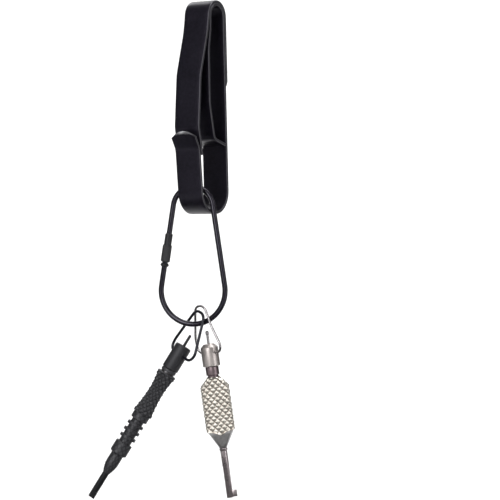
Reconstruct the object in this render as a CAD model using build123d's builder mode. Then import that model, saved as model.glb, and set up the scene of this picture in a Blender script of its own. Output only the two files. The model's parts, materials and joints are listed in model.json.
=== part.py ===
"""Belt clip with a screw-lock key ring and two swivel keys, modelled in millimetres.

+Z is up and +X runs along the width of the clip's strips. The latch is in front, on -Y. The
origin is the middle of the slot that takes the belt.
"""

import os
from math import cos, radians, sin, sqrt, tan

from build123d import *

os.makedirs("parts", exist_ok=True)

# ---------------------------------------------------------------- driving dimensions
# Clip, bent from two spring-steel strips of one width and thickness
STRIP_W = 15.2
STRIP_T = 1.55
ARC_Z = 26.0  # centre of the arcs over the belt
ARC_R = 5.6  # inside of the inner strip's arc
BACK_LEAN = 2.6  # degrees from upright
BOTTOM_Z = -77.5  # middle of the strip, under the loop
LOOP_R = 11.6
FRONT_LEAN = 6.6  # degrees from upright
LIP_BEND = (-16.7, -44.3)
LIP_FLARE = 33  # degrees from upright
LIP_LENGTH = 10.2
LIP_ROUND = 10.2  # radius of the lip's rounded end
TAIL_Z = -10.0  # lower end of the outer strip, on the back
TAIL_BEVEL = 2.2
SEAM = 0.2  # room at each place where a strip flexes

# Key ring, bent from round wire, with a screw lock in its left side
WIRE_R = 1.45
RING_AT = (-1.3, -9.92)
RING_TURN = 15
RING_BOTTOM_R = 17.7
RING_BOTTOM_Z = -118.6
RING_TOP_R = 11.0
RING_TOP_Z = -75.0
FERRULE = (-88.6, -97.2)
FERRULE_R = 2.0
STUD = (-100.4, -103.7)
BEAD = (-104.2, -105.9)
BEAD_R = 2.2
NUT = (-94.6, -103.4)
NUT_R = 2.5
NUT_BORE_R = 2.1

# Both keys hang in planes turned this much about the vertical
KEYS_TURN = 32
# A bail's ends cross the barrel at its twist from the keys' plane
BLACK_AT = (-8.72, -12.15, -152.16)
BLACK_TILT = 31.6
BLACK_BAIL_TWIST = 48
BLACK_BAIL_SWING = 9.8
BLACK_BAIL_WIRE_R = 0.75
SILVER_AT = (6.48, -5.61, -151.21)
SILVER_TILT = -8
SILVER_BAIL_TWIST = 51
SILVER_BAIL_SWING = 4.5
SILVER_BAIL_WIRE_R = 0.65
HOLE_ROOM = 0.08

TUBE_R = 1.75
TUBE_BORE_R = 1.2
TUBE_BORE_DEPTH = 9


# ---------------------------------------------------------------- shared shapes
def key_frame(at, tilt):
    """The plane across a key at its bail's holes: +Z runs up the key and +Y away from the front."""
    turn = radians(KEYS_TURN)
    lean = radians(tilt)
    across = Vector(cos(turn), sin(turn), 0) * cos(lean) - Vector(0, 0, sin(lean))
    up = Vector(cos(turn), sin(turn), 0) * sin(lean) + Vector(0, 0, cos(lean))
    return Plane(origin=at, x_dir=across, z_dir=up)


def half_outline(frame):
    """The plane for a turned piece's half outline: X is the radius and Y the height up the axis."""
    return Plane(origin=frame.origin, x_dir=frame.x_dir, z_dir=-frame.y_dir)


def key_axis(frame):
    return Axis(frame.origin, frame.z_dir)


def bail_frame(frame, twist, swing):
    """The plane that a bail lies in: X runs through the barrel's holes and Y up the bail."""
    lean = radians(swing)
    pins = frame.x_dir * cos(radians(twist)) - frame.y_dir * sin(radians(twist))
    up = frame.z_dir * cos(lean) + pins.cross(frame.z_dir) * sin(lean)
    return Plane(origin=frame.origin, x_dir=pins, z_dir=pins.cross(up))


def section_at(path):
    """The plane across a path at its start."""
    return Plane(origin=path @ 0, z_dir=path % 0)


def tube(inner, outer, low, high):
    """A sleeve's half outline."""
    return [(inner, low), (outer, low), (outer, high), (inner, high)]


# ---------------------------------------------------------------- clip
def arc_end(radius):
    """Where a strip's middle leaves its arc, at the back, for the straight run down."""
    return (radius * cos(radians(BACK_LEAN)), ARC_Z + radius * sin(radians(BACK_LEAN)))


def back_point(radius, z):
    y, top = arc_end(radius)
    return (y + (top - z) * tan(radians(BACK_LEAN)), z)


def front_point(z):
    return (LIP_BEND[0] + (LIP_BEND[1] - z) * tan(radians(FRONT_LEAN)), z)


inner_r = ARC_R + STRIP_T / 2
outer_r = inner_r + STRIP_T
lip_end = (
    LIP_BEND[0] - LIP_LENGTH * sin(radians(LIP_FLARE)),
    LIP_BEND[1] + LIP_LENGTH * cos(radians(LIP_FLARE)),
)

HOOK_HINGE = (-6.3, 23.0)  # where the hook starts to flex

# Inner strip: over the belt, down the back, round the loop and up to the flared lip
with BuildPart() as clip_frame:
    with BuildSketch(Plane.YZ):
        with BuildLine():
            Line(HOOK_HINGE, (-inner_r, ARC_Z))
            ThreePointArc((-inner_r, ARC_Z), (0, ARC_Z + inner_r), arc_end(inner_r))
            FilletPolyline(
                arc_end(inner_r),
                back_point(inner_r, BOTTOM_Z),
                front_point(BOTTOM_Z),
                LIP_BEND,
                lip_end,
                radius=[LOOP_R, LOOP_R, 8],
            )
        trace(line_width=STRIP_T)
    extrude(amount=STRIP_W / 2, both=True)
    # the lip's end is rounded across the strip
    lip_plane = Plane(
        origin=(0, *lip_end),
        x_dir=(1, 0, 0),
        z_dir=(0, -cos(radians(LIP_FLARE)), -sin(radians(LIP_FLARE))),
    )
    with BuildSketch(lip_plane):
        with BuildLine():
            side = STRIP_W / 2 + 0.5
            drop = LIP_ROUND - sqrt(LIP_ROUND**2 - side**2)
            ThreePointArc((-side, -drop), (0, 0), (side, -drop))
            Polyline((side, -drop), (side, 3), (-side, 3), (-side, -drop))
        make_face()
    extrude(amount=STRIP_T, both=True, mode=Mode.SUBTRACT)
clip_frame.part.label = "clip_frame"

# Hook: the inner strip's front end, which springs forward to let the belt in
with BuildPart() as belt_hook:
    with BuildSketch(Plane.YZ):
        with BuildLine():
            FilletPolyline(
                (HOOK_HINGE[0], HOOK_HINGE[1] - SEAM),
                (-6.2, 19.0),
                (-7.8, 9.0),
                (-6.9, -20.4),
                (-2.2, -38.6),
                (back_point(inner_r, -41.3)[0] - STRIP_T / 2 - 0.5, -41.3),
                radius=[20, 20, 25, 3.5],
            )
        trace(line_width=STRIP_T)
    extrude(amount=STRIP_W / 2, both=True)
belt_hook.part.label = "belt_hook"

# Outer strip: from its tail on the back, over the arc, to where the latch starts to flex
LATCH_HINGE = (-8.45, 22.0)
with BuildPart() as latch_band:
    with BuildSketch(Plane.YZ):
        with BuildLine():
            tail = back_point(outer_r, TAIL_Z)
            Line(tail, arc_end(outer_r))
            ThreePointArc(arc_end(outer_r), (0, ARC_Z + outer_r), (-outer_r, ARC_Z))
            Line((-outer_r, ARC_Z), LATCH_HINGE)
        trace(line_width=STRIP_T)
    extrude(amount=STRIP_W / 2, both=True)
    # the tail is bevelled down to a thin end
    with BuildSketch(Plane.YZ):
        with BuildLine():
            thin = tail[0] - STRIP_T / 2 + 0.35
            beyond = thin + 2 * (STRIP_T - 0.35)
            foot = TAIL_Z - 0.5
            Polyline((thin, foot), (beyond, TAIL_Z + 2 * TAIL_BEVEL), (beyond, foot), (thin, foot))
        make_face()
    extrude(amount=STRIP_W / 2, both=True, mode=Mode.SUBTRACT)
latch_band.part.label = "latch_band"

# Latch arm: the outer strip's front end, whose tip springs against the lip's inside
LATCH_TIP = (-13.9, -47.5)
with BuildPart() as latch_arm:
    with BuildSketch(Plane.YZ):
        with BuildLine():
            FilletPolyline(
                (LATCH_HINGE[0] - 0.03, LATCH_HINGE[1] - SEAM),
                (-9.4, 16.5),
                (-15.7, -5.5),
                (-17.3, -33.0),
                LATCH_TIP,
                radius=[14, 22, 8],
            )
        trace(line_width=STRIP_T)
    extrude(amount=STRIP_W / 2, both=True)
latch_arm.part.label = "latch_arm"

# ---------------------------------------------------------------- key ring
ring = Plane(
    origin=(*RING_AT, 0),
    x_dir=(cos(radians(RING_TURN)), sin(radians(RING_TURN)), 0),
    z_dir=(sin(radians(RING_TURN)), -cos(radians(RING_TURN)), 0),
)
side_slope = (RING_BOTTOM_R - RING_TOP_R) / (RING_TOP_Z - RING_BOTTOM_Z)
side_lean = sqrt(1 - side_slope**2)


def ring_point(radius, middle, side):
    """Where a straight side of the ring touches its top or bottom arc."""
    return (side * radius * side_lean, middle + radius * side_slope)


def left_side(z):
    """A point on the middle of the ring's left side, and the height z."""
    x, low = ring_point(RING_BOTTOM_R, RING_BOTTOM_Z, -1)
    return (x + (z - low) * side_slope / side_lean, z)


with BuildPart() as ring_wire:
    with BuildLine(ring) as wire_path:
        right_low = ring_point(RING_BOTTOM_R, RING_BOTTOM_Z, 1)
        right_high = ring_point(RING_TOP_R, RING_TOP_Z, 1)
        left_low = ring_point(RING_BOTTOM_R, RING_BOTTOM_Z, -1)
        left_high = ring_point(RING_TOP_R, RING_TOP_Z, -1)
        Line(left_side(STUD[0]), left_low)
        ThreePointArc(left_low, (0, RING_BOTTOM_Z - RING_BOTTOM_R), right_low)
        Line(right_low, right_high)
        ThreePointArc(right_high, (0, RING_TOP_Z + RING_TOP_R), left_high)
        Line(left_high, left_side(FERRULE[1]))
    with BuildSketch(section_at(wire_path.wire())):
        Circle(WIRE_R)
    sweep()
ring_wire.part.label = "ring_wire"

lock_foot = ring.from_local_coords(Vector(*left_side(0)))
lock_up = lock_foot - ring.from_local_coords(Vector(*left_side(-1)))
lock = Plane(origin=lock_foot, x_dir=ring.z_dir, z_dir=lock_up)
along = 1 / side_lean  # length up the ring's left side for each millimetre of height


def lock_sleeve(inner, outer, heights):
    """A sleeve's half outline on the ring's left side, between two heights."""
    low, high = sorted(z * along for z in heights)
    return tube(inner, outer, low, high)


with BuildPart() as ring_ferrule:
    with BuildSketch(half_outline(lock)):
        with BuildLine():
            Polyline(*lock_sleeve(WIRE_R, FERRULE_R, FERRULE), close=True)
        make_face()
    revolve(axis=key_axis(lock))
    chamfer(ring_ferrule.edges().filter_by(GeomType.CIRCLE).sort_by(Axis.Z)[-1], length=0.3)
ring_ferrule.part.label = "ring_ferrule"

with BuildPart() as ring_stud:
    with BuildSketch(half_outline(lock)):
        with BuildLine():
            Polyline(*lock_sleeve(WIRE_R, FERRULE_R, STUD), close=True)
        make_face()
    revolve(axis=key_axis(lock))
ring_stud.part.label = "ring_stud"

with BuildPart() as stop_bead:
    with BuildSketch(half_outline(lock)):
        with BuildLine():
            Polyline(*lock_sleeve(WIRE_R, BEAD_R, BEAD), close=True)
        make_face()
    revolve(axis=key_axis(lock))
    chamfer(stop_bead.edges().filter_by(GeomType.CIRCLE).sort_by(SortBy.RADIUS)[-2:], length=0.4)
stop_bead.part.label = "stop_bead"

with BuildPart() as lock_nut:
    with BuildSketch(half_outline(lock)):
        with BuildLine():
            Polyline(*lock_sleeve(NUT_BORE_R, NUT_R, NUT), close=True)
        make_face()
    revolve(axis=key_axis(lock))
    chamfer(lock_nut.edges().filter_by(GeomType.CIRCLE).sort_by(SortBy.RADIUS)[-2:], length=0.35)
lock_nut.part.label = "lock_nut"

# ---------------------------------------------------------------- black key
black = key_frame(BLACK_AT, BLACK_TILT)
BLACK_BARREL_R = 4.45
BLACK_BARREL = (-9.2, 4.94)
BLACK_GRIP_TOP = -11.9
BLACK_GRIP_FOOT = -73.5
BLACK_TIP = -88.4

with BuildPart() as black_bail:
    with BuildLine(bail_frame(black, BLACK_BAIL_TWIST, BLACK_BAIL_SWING)) as black_bail_path:
        FilletPolyline(
            (-2.4, 0),
            (-7.8, 0),
            (-7.8, 5.5),
            (-1.9, 25.2),
            (5.8, 25.2),
            (11.8, 5.0),
            (11.4, 0),
            (2.8, 0),
            radius=[3.2, 12, 4.3, 4.3, 2, 4.3],
        )
    with BuildSketch(section_at(black_bail_path.wire())):
        Circle(BLACK_BAIL_WIRE_R)
    sweep()
black_bail.part.label = "black_bail"

with BuildPart() as black_swivel_barrel:
    with BuildSketch(half_outline(black)):
        with BuildLine():
            Polyline(
                (0, -3.0),
                (3.1, -3.0),
                (3.1, BLACK_BARREL[0]),
                (BLACK_BARREL_R - 0.3, BLACK_BARREL[0]),
                (BLACK_BARREL_R, BLACK_BARREL[0] + 0.3),
                (BLACK_BARREL_R, BLACK_BARREL[1] - 0.5),
                (BLACK_BARREL_R - 0.4, BLACK_BARREL[1]),
                (0, BLACK_BARREL[1]),
                close=True,
            )
        make_face()
    revolve(axis=key_axis(black))
    black_pins = bail_frame(black, BLACK_BAIL_TWIST, BLACK_BAIL_SWING)
    with BuildSketch(Plane(origin=black.origin, z_dir=black_pins.x_dir)):
        Circle(BLACK_BAIL_WIRE_R + HOLE_ROOM)
    extrude(amount=BLACK_BARREL_R + 1, both=True, mode=Mode.SUBTRACT)
    # the lock pin's socket in the crown
    with BuildSketch(black.offset(BLACK_BARREL[1])):
        Circle(0.75)
    extrude(amount=-2.5, mode=Mode.SUBTRACT)
black_swivel_barrel.part.label = "black_swivel_barrel"

with BuildPart() as black_lock_pin:
    with BuildSketch(black.offset(BLACK_BARREL[1] - 2.5)):
        Circle(0.75)
    extrude(amount=9.3)
    fillet(black_lock_pin.edges().filter_by(GeomType.CIRCLE).sort_by(Axis.Z)[-1], 0.6)
black_lock_pin.part.label = "black_lock_pin"

with BuildPart() as black_swivel_stem:
    with BuildSketch(half_outline(black)):
        with BuildLine():
            Polyline(
                (0, -18.9),
                (1.8, -18.9),
                (1.8, -5.4),
                (2.8, -5.4),
                (2.8, -3.4),
                (0, -3.4),
                close=True,
            )
        make_face()
    revolve(axis=key_axis(black))
black_swivel_stem.part.label = "black_swivel_stem"

with BuildPart() as black_retaining_ring:
    with BuildSketch(half_outline(black)):
        with BuildLine():
            Polyline(*tube(1.9, 3.1, -9.0, -5.55), close=True)
        make_face()
    revolve(axis=key_axis(black))
black_retaining_ring.part.label = "black_retaining_ring"

with BuildPart() as black_washer:
    with BuildSketch(half_outline(black)):
        with BuildLine():
            Polyline(*tube(1.8, 3.4, BLACK_GRIP_TOP, BLACK_GRIP_TOP + 0.9), close=True)
        make_face()
    revolve(axis=key_axis(black))
black_washer.part.label = "black_washer"

# Grip: a waisted knurled handle, three fins, a collar and a nose round the tube
FIN_MIDDLES = (-43.8, -47.6, -51.4)
FIN_T = 1.5
BLACK_ROOT_R = 3.3
with BuildPart() as black_grip:
    with BuildSketch(half_outline(black)):
        with BuildLine():
            Polyline((0, BLACK_GRIP_FOOT), (0, BLACK_GRIP_TOP), (5.2, BLACK_GRIP_TOP), (5.5, -12.3))
            Line((5.5, -12.3), (5.5, -13.6))
            ThreePointArc((5.5, -13.6), (4.2, -23.4), (5.4, -36.6))
            Polyline((5.4, -36.6), (4.62, -36.9), (4.62, -40.6), (BLACK_ROOT_R, -41.0))
            Line((BLACK_ROOT_R, -41.0), (BLACK_ROOT_R, -54.6))
            Polyline((BLACK_ROOT_R, -54.6), (4.62, -54.9), (4.62, -61.3), (3.4, -62.0), (3.4, -68.6))
            ThreePointArc((3.4, -68.6), (2.95, -71.4), (TUBE_R, BLACK_GRIP_FOOT))
            Line((TUBE_R, BLACK_GRIP_FOOT), (0, BLACK_GRIP_FOOT))
        make_face()
    revolve(axis=key_axis(black))
    for middle in FIN_MIDDLES:
        with BuildSketch(black.offset(middle - FIN_T / 2)):
            Circle(4.55)
        extrude(amount=FIN_T)
    # sockets for the swivel's stem and for the tube
    with BuildSketch(black.offset(BLACK_GRIP_TOP)):
        Circle(1.8)
    extrude(amount=-7.0, mode=Mode.SUBTRACT)
    with BuildSketch(black.offset(BLACK_GRIP_FOOT)):
        Circle(TUBE_R)
    extrude(amount=12, mode=Mode.SUBTRACT)
black_grip.part.label = "black_grip"

with BuildPart() as black_key_shaft:
    with BuildSketch(black.offset(BLACK_TIP)):
        Circle(TUBE_R)
    extrude(amount=BLACK_GRIP_FOOT + 12 - BLACK_TIP)
    # the bit is a flag on one side of the tube's end
    bit_turn = radians(-72)
    bit_out = black.x_dir * cos(bit_turn) + black.y_dir * sin(bit_turn)
    bit = Plane(origin=black.origin + black.z_dir * (BLACK_TIP + 0.2), x_dir=bit_out, z_dir=black.z_dir)
    with BuildSketch(bit):
        Rectangle(TUBE_R + 2.2, 1.3, align=(Align.MIN, Align.CENTER))
    extrude(amount=3.6)
    with BuildSketch(black.offset(BLACK_TIP)):
        Circle(TUBE_BORE_R)
    extrude(amount=TUBE_BORE_DEPTH, mode=Mode.SUBTRACT)
black_key_shaft.part.label = "black_key_shaft"

# ---------------------------------------------------------------- silver key
silver = key_frame(SILVER_AT, SILVER_TILT)
SILVER_BARREL_R = 4.6
SILVER_BARREL = (-7.35, 4.6)
SILVER_NECK = (-13.0, -7.5)
SILVER_BODY_R = 7.8
SILVER_BODY_T = 7.0
SILVER_BODY_FOOT = -50.8
SILVER_TIP = -77.0

with BuildPart() as silver_bail:
    with BuildLine(bail_frame(silver, SILVER_BAIL_TWIST, SILVER_BAIL_SWING)) as silver_bail_path:
        FilletPolyline(
            (-2.6, 0),
            (-9.6, 0),
            (-9.9, 8.0),
            (-4.4, 25.0),
            (3.2, 25.0),
            (5.7, 14.0),
            (9.9, 4.2),
            (9.6, 0),
            (2.6, 0),
            radius=[3.4, 12, 4.0, 4.0, 20, 3, 3.0],
        )
    with BuildSketch(section_at(silver_bail_path.wire())):
        Circle(SILVER_BAIL_WIRE_R)
    sweep()
silver_bail.part.label = "silver_bail"

with BuildPart() as silver_swivel_barrel:
    with BuildSketch(half_outline(silver)):
        with BuildLine():
            Polyline(
                (0, -2.4),
                (3.0, -2.4),
                (3.0, SILVER_BARREL[0]),
                (SILVER_BARREL_R - 0.4, SILVER_BARREL[0]),
                (SILVER_BARREL_R, SILVER_BARREL[0] + 0.4),
                (SILVER_BARREL_R, SILVER_BARREL[1] - 1.9),
                (2.7, SILVER_BARREL[1]),
                (0, SILVER_BARREL[1]),
                close=True,
            )
        make_face()
    revolve(axis=key_axis(silver))
    silver_pins = bail_frame(silver, SILVER_BAIL_TWIST, SILVER_BAIL_SWING)
    with BuildSketch(Plane(origin=silver.origin, z_dir=silver_pins.x_dir)):
        Circle(SILVER_BAIL_WIRE_R + HOLE_ROOM)
    extrude(amount=SILVER_BARREL_R + 1, both=True, mode=Mode.SUBTRACT)
    with BuildSketch(silver.offset(SILVER_BARREL[1])):
        Circle(0.7)
    extrude(amount=-2.5, mode=Mode.SUBTRACT)
silver_swivel_barrel.part.label = "silver_swivel_barrel"

with BuildPart() as silver_lock_pin:
    with BuildSketch(half_outline(silver)):
        with BuildLine():
            Polyline(
                (0, SILVER_BARREL[1] - 2.5),
                (0.7, SILVER_BARREL[1] - 2.5),
                (0.7, 9.3),
                (0.95, 9.7),
                (0.95, 10.8),
                (0.6, 11.5),
                (0, 11.5),
                close=True,
            )
        make_face()
    revolve(axis=key_axis(silver))
silver_lock_pin.part.label = "silver_lock_pin"

with BuildPart() as silver_swivel_stem:
    with BuildSketch(half_outline(silver)):
        with BuildLine():
            Polyline(
                (0, -20.0),
                (2.0, -20.0),
                (2.0, SILVER_NECK[0]),
                (3.3, SILVER_NECK[0]),
                (3.3, -12.7),
                (2.9, -12.5),
                (2.9, -12.1),
                (3.5, -11.8),
                (3.5, SILVER_NECK[1]),
                (1.8, SILVER_NECK[1]),
                (1.8, -4.4),
                (2.7, -4.4),
                (2.7, -2.7),
                (0, -2.7),
                close=True,
            )
        make_face()
    revolve(axis=key_axis(silver))
silver_swivel_stem.part.label = "silver_swivel_stem"

with BuildPart() as silver_retaining_ring:
    with BuildSketch(half_outline(silver)):
        with BuildLine():
            Polyline(*tube(1.9, 3.0, -7.2, -4.55), close=True)
        make_face()
    revolve(axis=key_axis(silver))
silver_retaining_ring.part.label = "silver_retaining_ring"

# Body: a turned bar with a flat milled on each broad side
with BuildPart() as silver_key_body:
    with BuildSketch(half_outline(silver)):
        with BuildLine():
            Polyline(
                (0, SILVER_NECK[0]),
                (3.5, SILVER_NECK[0]),
                (SILVER_BODY_R, -17.7),
                (SILVER_BODY_R, -40.8),
                (2.3, -50.0),
                (TUBE_R, SILVER_BODY_FOOT),
                (0, SILVER_BODY_FOOT),
                close=True,
            )
        make_face()
    revolve(axis=key_axis(silver))
    with BuildSketch(Plane(origin=silver.origin, x_dir=silver.y_dir, z_dir=silver.x_dir)):
        with BuildLine():
            half = SILVER_BODY_T / 2
            Polyline(
                (-half, SILVER_NECK[0] + 1),
                (half, SILVER_NECK[0] + 1),
                (half, -43.0),
                (2.1, SILVER_BODY_FOOT - 1),
                (-2.1, SILVER_BODY_FOOT - 1),
                (-half, -43.0),
                close=True,
            )
        make_face()
    extrude(amount=SILVER_BODY_R + 1, both=True, mode=Mode.INTERSECT)
    with BuildSketch(silver.offset(SILVER_NECK[0])):
        Circle(2.0)
    extrude(amount=-7.0, mode=Mode.SUBTRACT)
    with BuildSketch(silver.offset(SILVER_BODY_FOOT)):
        Circle(TUBE_R)
    extrude(amount=10, mode=Mode.SUBTRACT)
silver_key_body.part.label = "silver_key_body"

with BuildPart() as silver_key_shaft:
    with BuildSketch(half_outline(silver)):
        with BuildLine():
            step = -60.4
            Polyline(
                (0, SILVER_TIP),
                (TUBE_R, SILVER_TIP),
                (TUBE_R, step),
                (TUBE_R + 0.1, step + 0.3),
                (TUBE_R + 0.1, SILVER_BODY_FOOT - 0.1),
                (TUBE_R, SILVER_BODY_FOOT),
                (TUBE_R, SILVER_BODY_FOOT + 10),
                (0, SILVER_BODY_FOOT + 10),
                close=True,
            )
        make_face()
    revolve(axis=key_axis(silver))
    with BuildSketch(silver.offset(SILVER_TIP + 0.2)):
        Rectangle(TUBE_R + 2.2, 1.3, align=(Align.MIN, Align.CENTER))
    extrude(amount=3.6)
    with BuildSketch(silver.offset(SILVER_TIP)):
        Circle(TUBE_BORE_R)
    extrude(amount=TUBE_BORE_DEPTH, mode=Mode.SUBTRACT)
silver_key_shaft.part.label = "silver_key_shaft"

# ---------------------------------------------------------------- one file for each piece
pieces = [
    clip_frame,
    belt_hook,
    latch_band,
    latch_arm,
    ring_wire,
    ring_ferrule,
    ring_stud,
    stop_bead,
    lock_nut,
    black_bail,
    black_swivel_barrel,
    black_lock_pin,
    black_swivel_stem,
    black_retaining_ring,
    black_washer,
    black_grip,
    black_key_shaft,
    silver_bail,
    silver_swivel_barrel,
    silver_lock_pin,
    silver_swivel_stem,
    silver_retaining_ring,
    silver_key_body,
    silver_key_shaft,
]
for piece in pieces:
    export_step(piece.part, f"parts/{piece.part.label}.step")
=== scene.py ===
"""Belt clip with a screw-lock key ring and two swivel keys, dressed on its CAD frame. Metres, row frame."""

import json
from math import asin, atan2, ceil, cos, pi, radians, sin, sqrt

import bmesh
import bpy
from mathutils import Matrix, Vector


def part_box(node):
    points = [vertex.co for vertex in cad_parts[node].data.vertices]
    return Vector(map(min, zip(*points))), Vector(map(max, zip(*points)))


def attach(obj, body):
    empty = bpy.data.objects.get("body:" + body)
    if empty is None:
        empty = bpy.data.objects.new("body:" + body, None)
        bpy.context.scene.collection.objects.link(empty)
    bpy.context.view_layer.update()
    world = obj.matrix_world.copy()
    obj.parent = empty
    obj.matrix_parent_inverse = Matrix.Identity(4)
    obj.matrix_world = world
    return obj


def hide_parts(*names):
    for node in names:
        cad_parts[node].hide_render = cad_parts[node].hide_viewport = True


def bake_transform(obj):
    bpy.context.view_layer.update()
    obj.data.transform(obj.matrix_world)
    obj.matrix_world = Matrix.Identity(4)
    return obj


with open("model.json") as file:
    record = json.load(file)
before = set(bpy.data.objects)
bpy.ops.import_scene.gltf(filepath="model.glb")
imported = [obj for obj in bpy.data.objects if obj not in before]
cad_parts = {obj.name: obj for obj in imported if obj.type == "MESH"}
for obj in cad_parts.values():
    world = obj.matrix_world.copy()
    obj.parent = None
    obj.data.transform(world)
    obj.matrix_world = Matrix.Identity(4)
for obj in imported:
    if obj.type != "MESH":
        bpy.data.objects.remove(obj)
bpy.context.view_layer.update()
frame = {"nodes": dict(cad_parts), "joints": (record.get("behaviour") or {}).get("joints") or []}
joints = {joint["name"]: joint for joint in frame["joints"]}
MM = 0.001
Z = Vector((0, 0, 1))

# How far in depth a strip's tip shapes it, and how the painted highlight lies along a strip's edges and on
# its tip
TIP_ROOM = 0.006
EDGE_INSET, EDGE_BAND, EDGE_HIGHLIGHT = 0.0001, 0.0002, 0.12
TIP_BAND = 0.0004

# The keys hang in planes turned this much about the vertical, and the camera looks square at them
VIEW_TURN = radians(32)
AWAY = Vector((-sin(VIEW_TURN), cos(VIEW_TURN), 0))
RIGHT = Vector((cos(VIEW_TURN), sin(VIEW_TURN), 0))


# ---------------------------------------------------------------- node trees
def add(tree, kind, *inputs, **settings):
    """A node with its settings, and its inputs given in order as values, links or None."""
    node = tree.nodes.new(kind)
    named = settings.pop("named", {})
    for key, value in settings.items():
        setattr(node, key, value)
    sockets = [(node.inputs[k], value) for k, value in enumerate(inputs)]
    sockets += [(node.inputs[k], value) for k, value in named.items()]
    for socket, value in sockets:
        if isinstance(value, bpy.types.NodeSocket):
            tree.links.new(value, socket)
        elif value is not None:
            socket.default_value = value
    return node


def maths(tree, operation, *inputs, clamp=False):
    return add(tree, "ShaderNodeMath", *inputs, operation=operation, use_clamp=clamp).outputs[0]


def vector_maths(tree, operation, *inputs):
    node = add(tree, "ShaderNodeVectorMath", operation=operation)
    for k, value in enumerate(inputs):
        socket = node.inputs["Scale"] if operation == "SCALE" and k == 1 else node.inputs[k]
        if isinstance(value, bpy.types.NodeSocket):
            tree.links.new(value, socket)
        else:
            socket.default_value = value
    return node.outputs["Value" if operation == "DOT_PRODUCT" else "Vector"]


def geometry_group(name, sockets):
    """A Geometry Nodes group with a geometry input, the named inputs and a geometry output."""
    tree = bpy.data.node_groups.new(name, "GeometryNodeTree")
    tree.interface.new_socket("Geometry", in_out="INPUT", socket_type="NodeSocketGeometry")
    for label, kind in sockets:
        tree.interface.new_socket(label, in_out="INPUT", socket_type=kind)
    tree.interface.new_socket("Geometry", in_out="OUTPUT", socket_type="NodeSocketGeometry")
    entry = tree.nodes.new("NodeGroupInput")
    return tree, entry.outputs


def close_group(tree, geometry, material):
    """Ends a group with Realize Instances and Set Material."""
    real = add(tree, "GeometryNodeRealizeInstances", geometry)
    made = add(tree, "GeometryNodeSetMaterial", real.outputs[0], named={"Material": material})
    out = tree.nodes.new("NodeGroupOutput")
    tree.links.new(made.outputs[0], out.inputs[0])
    return tree


def wire_group():
    tree, given = geometry_group(
        "Round wire",
        [("Radius", "NodeSocketFloat"), ("Sides", "NodeSocketInt"), ("Material", "NodeSocketMaterial")],
    )
    size = {"Resolution": given["Sides"], "Radius": given["Radius"]}
    circle = add(tree, "GeometryNodeCurvePrimitiveCircle", named=size)
    capped = {"Fill Caps": True}
    swept = add(tree, "GeometryNodeCurveToMesh", given["Geometry"], circle.outputs[0], named=capped)
    return close_group(tree, swept.outputs[0], given["Material"])


def strip_group():
    """A bent strip along a path, with softened edges and an end rounded across its width."""
    tree, given = geometry_group(
        "Bent strip",
        [
            ("Width", "NodeSocketFloat"),
            ("Thickness", "NodeSocketFloat"),
            ("Edge round", "NodeSocketFloat"),
            ("Tip", "NodeSocketVector"),
            ("Tip direction", "NodeSocketVector"),
            ("Tip round", "NodeSocketFloat"),
            ("Tip reach", "NodeSocketFloat"),
            ("Material", "NodeSocketMaterial"),
        ],
    )
    level = {"Normal": (1, 0, 0)}
    turned = add(tree, "GeometryNodeSetCurveNormal", given["Geometry"], mode="FREE", named=level)
    size = {"Width": given["Width"], "Height": given["Thickness"]}
    section = add(tree, "GeometryNodeCurvePrimitiveQuadrilateral", named=size)
    rounding = {"Radius": given["Edge round"], "Count": 3}
    soft = add(tree, "GeometryNodeFilletCurve", section.outputs[0], mode="POLY", named=rounding)
    fine = add(tree, "GeometryNodeSubdivideCurve", soft.outputs[0], 5)
    capped = {"Fill Caps": True}
    swept = add(tree, "GeometryNodeCurveToMesh", turned.outputs[0], fine.outputs[0], named=capped)
    place = add(tree, "GeometryNodeInputPosition").outputs[0]
    across = add(tree, "ShaderNodeSeparateXYZ", place).outputs["X"]
    from_tip = vector_maths(tree, "SUBTRACT", place, given["Tip"])
    ahead = vector_maths(tree, "DOT_PRODUCT", from_tip, given["Tip direction"])
    depth = add(tree, "ShaderNodeSeparateXYZ", place).outputs["Y"]
    tip_depth = add(tree, "ShaderNodeSeparateXYZ", given["Tip"]).outputs["Y"]
    gap = maths(tree, "ABSOLUTE", maths(tree, "SUBTRACT", depth, tip_depth))
    at_tip = maths(tree, "LESS_THAN", gap, TIP_ROOM)
    share = maths(tree, "ADD", maths(tree, "DIVIDE", ahead, given["Tip reach"]), 1.0, clamp=True)
    share = maths(tree, "MULTIPLY", share, at_tip)
    round_squared = maths(tree, "MULTIPLY", given["Tip round"], given["Tip round"])
    across_squared = maths(tree, "MULTIPLY", across, across)
    flat = maths(tree, "SUBTRACT", round_squared, across_squared)
    drop = maths(tree, "SUBTRACT", given["Tip round"], maths(tree, "SQRT", flat))
    back = maths(tree, "MULTIPLY", maths(tree, "MULTIPLY", drop, share), -1.0)
    moved = add(
        tree,
        "GeometryNodeSetPosition",
        swept.outputs[0],
        named={"Offset": vector_maths(tree, "SCALE", given["Tip direction"], back)},
    )
    # A painted highlight, faint along the softened edges and full on the tip
    half = maths(tree, "MULTIPLY", given["Width"], 0.5)
    inside = maths(tree, "SUBTRACT", half, maths(tree, "ABSOLUTE", across))
    off_middle = maths(tree, "ABSOLUTE", maths(tree, "SUBTRACT", inside, EDGE_INSET))
    edge = maths(tree, "SUBTRACT", 1.0, maths(tree, "DIVIDE", off_middle, EDGE_BAND), clamp=True)
    end = maths(tree, "ADD", maths(tree, "DIVIDE", ahead, TIP_BAND), 1.0, clamp=True)
    end = maths(tree, "MULTIPLY", end, at_tip)
    painted_highlight = maths(tree, "MAXIMUM", maths(tree, "MULTIPLY", edge, EDGE_HIGHLIGHT), end)
    kept = add(
        tree,
        "GeometryNodeStoreNamedAttribute",
        moved.outputs[0],
        data_type="FLOAT",
        domain="POINT",
        named={"Name": "painted_highlight", "Value": painted_highlight},
    )
    return close_group(tree, kept.outputs[0], given["Material"])


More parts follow.
